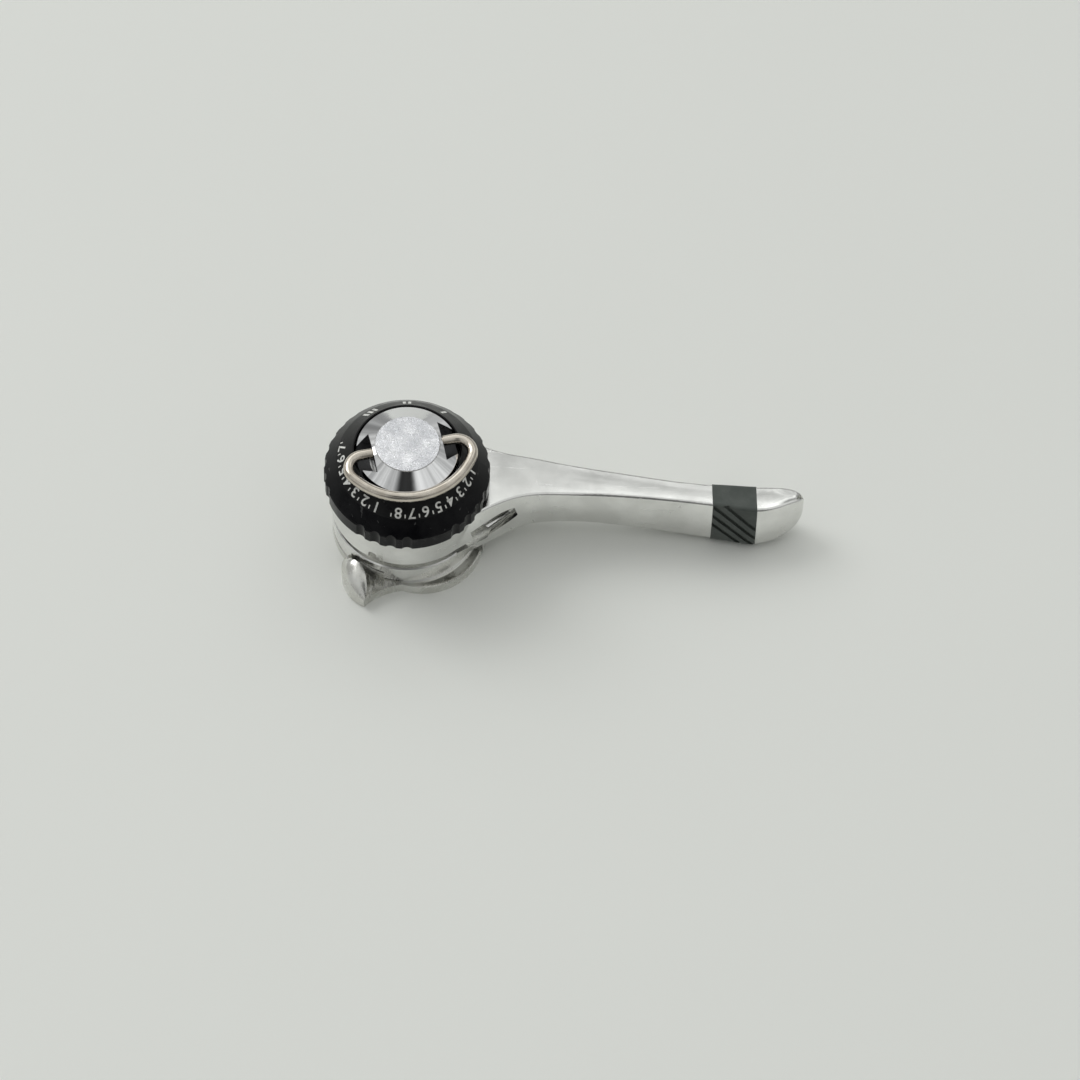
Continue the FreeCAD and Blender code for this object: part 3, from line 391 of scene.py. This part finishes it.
def bar(angle, width, span):
    """A short printed line running up the cone, between two distances from its outer edge."""
    low, high = span
    bpy.ops.object.select_all(action="DESELECT")
    place = (0, SLOPE.length - (low + high) / 2, 0)
    bpy.ops.mesh.primitive_grid_add(x_subdivisions=4, y_subdivisions=4, size=1, location=place)
    bpy.context.object.scale = (width, high - low, 1)
    return wrap_on_cone(bpy.context.object, angle)


def make_marks():
    """Two click scales in numerals, with ticks between them, and bars for each of three modes."""
    marks = []
    for start, count in FIGURE_SCALES:
        for number in range(count):
            angle = start - number * FIGURE_STEP
            marks.append(figure(str(number + 1), angle))
            marks.append(bar(angle - FIGURE_STEP / 2, TICK_WIDTH, TICK_SPAN))
    for place, count in MODE_MARKS:
        for number in range(count):
            step = (number - (count - 1) / 2) * MODE_BAR_STEP
            marks.append(bar(place + step, MODE_BAR_WIDTH, MODE_BAR_SPAN))
    bpy.ops.object.select_all(action="DESELECT")
    for mark in marks:
        mark.select_set(True)
    bpy.context.view_layer.objects.active = marks[0]
    bpy.ops.object.join()
    printed = bpy.context.object
    printed.name = "dial_marks"
    bpy.ops.object.mode_set(mode="EDIT")
    bpy.ops.mesh.select_all(action="SELECT")
    bpy.ops.mesh.remove_doubles(threshold=MERGE_DISTANCE)
    bpy.ops.mesh.normals_make_consistent(inside=False)
    bpy.ops.object.mode_set(mode="OBJECT")
    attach(printed, "ring")


make_marks()

# ------------------------------------------------------------------ floor, light and camera


FLOOR_SIZE = 6.0
WINDOW_PLACE = (-1.0, 0.7, 1.1)
WINDOW_TARGET = (0.02, 0, 0)
WINDOW_SIDE = 0.8
WINDOW_POWER = 5.8


def make_floor():
    """A wide pale table top."""
    bpy.ops.mesh.primitive_plane_add(size=FLOOR_SIZE, location=(0, 0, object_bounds()[0].z))
    floor = bpy.context.object
    floor.name = "floor"
    paint = Paint("floor", Roughness=0.55, IOR=1.45)
    cloud = paint.noise(9.0, 3.0, 0.5)
    paint.feed(Base_Color=paint.blend(cloud, rgb(0.80, 0.81, 0.775), rgb(0.83, 0.84, 0.805)))
    floor.data.materials.append(paint.material)


def soft_light(name, place, target, side, power):
    """A square soft box aimed at a point."""
    bpy.ops.object.light_add(type="AREA", location=place)
    lamp = bpy.context.object
    lamp.name = name
    lamp.data.shape = "SQUARE"
    lamp.data.size = side
    lamp.data.energy = power
    lamp.rotation_euler = (Vector(target) - Vector(place)).to_track_quat("-Z", "Y").to_euler()


def make_camera():
    """The camera on the viewing line, above the front of the lever and tipped slightly to one side."""
    back = -VIEW_LINE
    right = Vector((math.cos(VIEW_TURN), math.sin(VIEW_TURN), 0))
    up = VIEW_LINE.cross(right) * -1
    side = right * math.cos(VIEW_ROLL) + up * math.sin(VIEW_ROLL)
    top = up * math.cos(VIEW_ROLL) - right * math.sin(VIEW_ROLL)
    bpy.ops.object.camera_add(location=VIEW_TARGET + back * CAMERA_DISTANCE)
    camera = bpy.context.object
    camera.data.sensor_width = SENSOR_WIDTH
    camera.data.lens = LENS
    camera.rotation_euler = Matrix((side, top, back)).transposed().to_euler()
    camera.data.clip_start = 0.01
    camera.data.clip_end = 20.0
    bpy.context.scene.camera = camera


def make_world():
    """Soft room light: pale all round, brighter overhead and on the far side, dark by the camera."""
    world = bpy.data.worlds.new("studio")
    world.use_nodes = True
    room = Graph(world.node_tree)
    way = room.node("ShaderNodeTexCoord", {}, {}, "Generated")

    def patch(direction, inner, outer):
        """1 within an angle of a direction, falling smoothly to 0 at a wider one."""
        facing = room.node("ShaderNodeVectorMath", {"operation": "DOT_PRODUCT"},
                           {0: way, 1: Vector(direction).normalized()}, "Value")
        return room.ramp(facing, math.cos(math.radians(outer)), math.cos(math.radians(inner)))

    overhead = patch((0, 0, 1), 5, 80)
    window = patch((-0.45, 0.75, 0.75), 8, 30)
    lamp_row = patch((0.6, 0.55, 0.8), 3, 16)
    far_wall = patch((0, 0.55, 0.84), 8, 38)
    viewer = patch(-VIEW_LINE, 7, 17)
    doorway = patch((0, -1, 0.35), 12, 34)
    cloud = room.noise(2.6, 3.0, 0.5, way, (0.6, 2.4, 1.2))
    fold = room.noise(7.0, 2.0, 0.5, way, (0.5, 2.2, 1.4))
    glow = 0.45 + overhead * 0.31 + window * 0.75 + lamp_row * 0.5 + far_wall * 0.24
    glow = glow * room.ramp(cloud, 0.3, 0.7, 0.62, 1.3) * room.ramp(fold, 0.35, 0.65, 0.82, 1.12)
    glow = glow * (1.0 - viewer * 0.95) * (1.0 - doorway * 0.7)
    shade = world.node_tree.nodes["Background"]
    shade.inputs["Color"].default_value = rgb(0.985, 1.0, 0.985)
    room.tree.links.new(glow.socket, shade.inputs["Strength"])
    bpy.context.scene.world = world


make_floor()
make_world()
soft_light("window", WINDOW_PLACE, WINDOW_TARGET, WINDOW_SIDE, WINDOW_POWER)
make_camera()

bpy.context.scene.view_settings.view_transform = "Standard"
